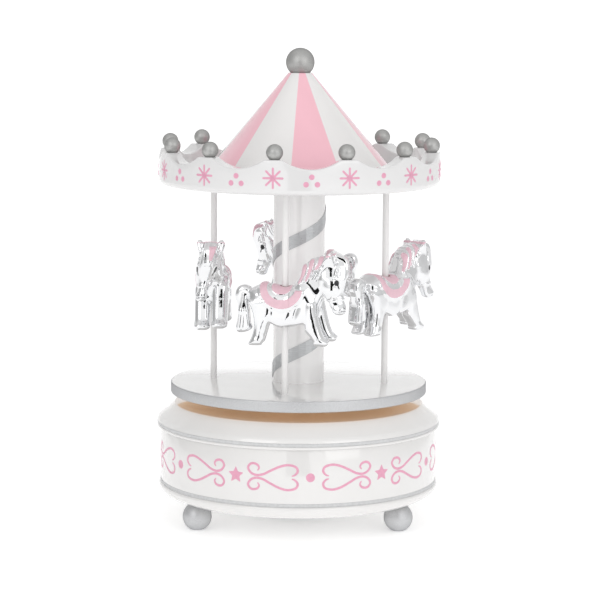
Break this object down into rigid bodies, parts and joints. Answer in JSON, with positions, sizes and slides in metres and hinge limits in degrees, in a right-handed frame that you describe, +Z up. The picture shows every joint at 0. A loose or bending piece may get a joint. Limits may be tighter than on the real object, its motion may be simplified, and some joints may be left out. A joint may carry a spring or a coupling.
{
  "type": "wind-up carousel music box",
  "caption": "Wind-up carousel music box: wooden drum with a clockwork movement, turntable, column, horses on poles and a striped cone canopy with beads on its rim.",
  "frame": {"origin": "on the floor, under the axis of the column, centre of the three feet's circle", "axes": "+Z up along the column's axis, -Y towards the front, where the front horse stands; the horses run counter-clockwise seen from above"},
  "size_m": [0.1066, 0.1066, 0.1771],
  "materials": {
    "white_lacquer": "gloss white lacquer on turned wood",
    "silver_paint": "satin metallic silver paint",
    "bare_wood": "bare pale wood",
    "pink_paint": "gloss pink and white stripes",
    "white_pole": "gloss white plastic tube",
    "horse_chrome": "vacuum-plated plastic, saddle and mane painted pink",
    "steel": "bright steel",
    "brass": "bright brass",
    "zinc": "die-cast zinc, as cast",
    "foil": "silver foil strip"
  },
  "bodies": {
    "base": {"ball_feet": "silver_paint", "base_plinth": "white_lacquer", "base_drum": "white_lacquer", "base_lid": "white_lacquer", "spindle_bush": "brass", "movement_screws": "steel", "bedplate": "zinc", "comb_block": "zinc", "comb": "steel", "comb_screws": "brass", "inner_bracket": "brass", "outer_bracket": "brass", "governor_cock": "brass", "worm_bracket": "brass", "clutch_spring": "steel"},
    "key": {"winding_arbor": "steel", "winding_key": "steel"},
    "carousel": {"spring_barrel": "brass", "barrel_cap": "brass", "mainspring": "steel", "drive_spindle": "steel", "platform_hub": "bare_wood", "hub_screws": "steel", "platform": "white_lacquer", "column": "white_lacquer", "spiral_band": "foil", "pole_front": "white_pole", "pole_right": "white_pole", "pole_rear": "white_pole", "pole_left": "white_pole", "horse_front": "horse_chrome", "horse_right": "horse_chrome", "horse_rear": "horse_chrome", "horse_left": "horse_chrome", "canopy_valance": "white_lacquer", "rim_beads": "silver_paint", "canopy_cone": "pink_paint", "finial_ball": "silver_paint"},
    "cylinder": {"cylinder_arbor": "steel", "crown_pinion": "steel", "music_cylinder": "brass", "cylinder_gear": "brass"},
    "governor_wheel": {"governor_arbor": "steel", "worm_wheel": "brass"},
    "fan": {"governor_worm": "steel", "fan_blades": "brass"}
  },
  "joints": [
    {"name": "carousel_spin", "type": "hinge", "parent": "base", "child": "carousel", "pos_m": [0, 0, 0.041], "axis": [0, 0, 1], "continuous": true},
    {"name": "key_wind", "type": "hinge", "parent": "base", "child": "key", "pos_m": [0, 0, 0.016], "axis": [0, 0, 1], "range_deg": [0, 2250]},
    {"name": "cylinder_spin", "type": "hinge", "parent": "base", "child": "cylinder", "pos_m": [0, 0.0345, 0.03129], "axis": [0, 1, 0], "continuous": true},
    {"name": "governor_wheel_spin", "type": "hinge", "parent": "base", "child": "governor_wheel", "pos_m": [0.009, 0.0345, 0.03129], "axis": [0, 1, 0], "continuous": true},
    {"name": "fan_spin", "type": "hinge", "parent": "base", "child": "fan", "pos_m": [0.0155, 0.0378, 0.03], "axis": [0, 0, 1], "continuous": true}
  ],
  "couplings": [
    {"joint": "cylinder_spin", "follows": "carousel_spin", "ratio": 3.3333},
    {"joint": "governor_wheel_spin", "follows": "carousel_spin", "ratio": -13.333},
    {"joint": "fan_spin", "follows": "carousel_spin", "ratio": -266.67}
  ]
}
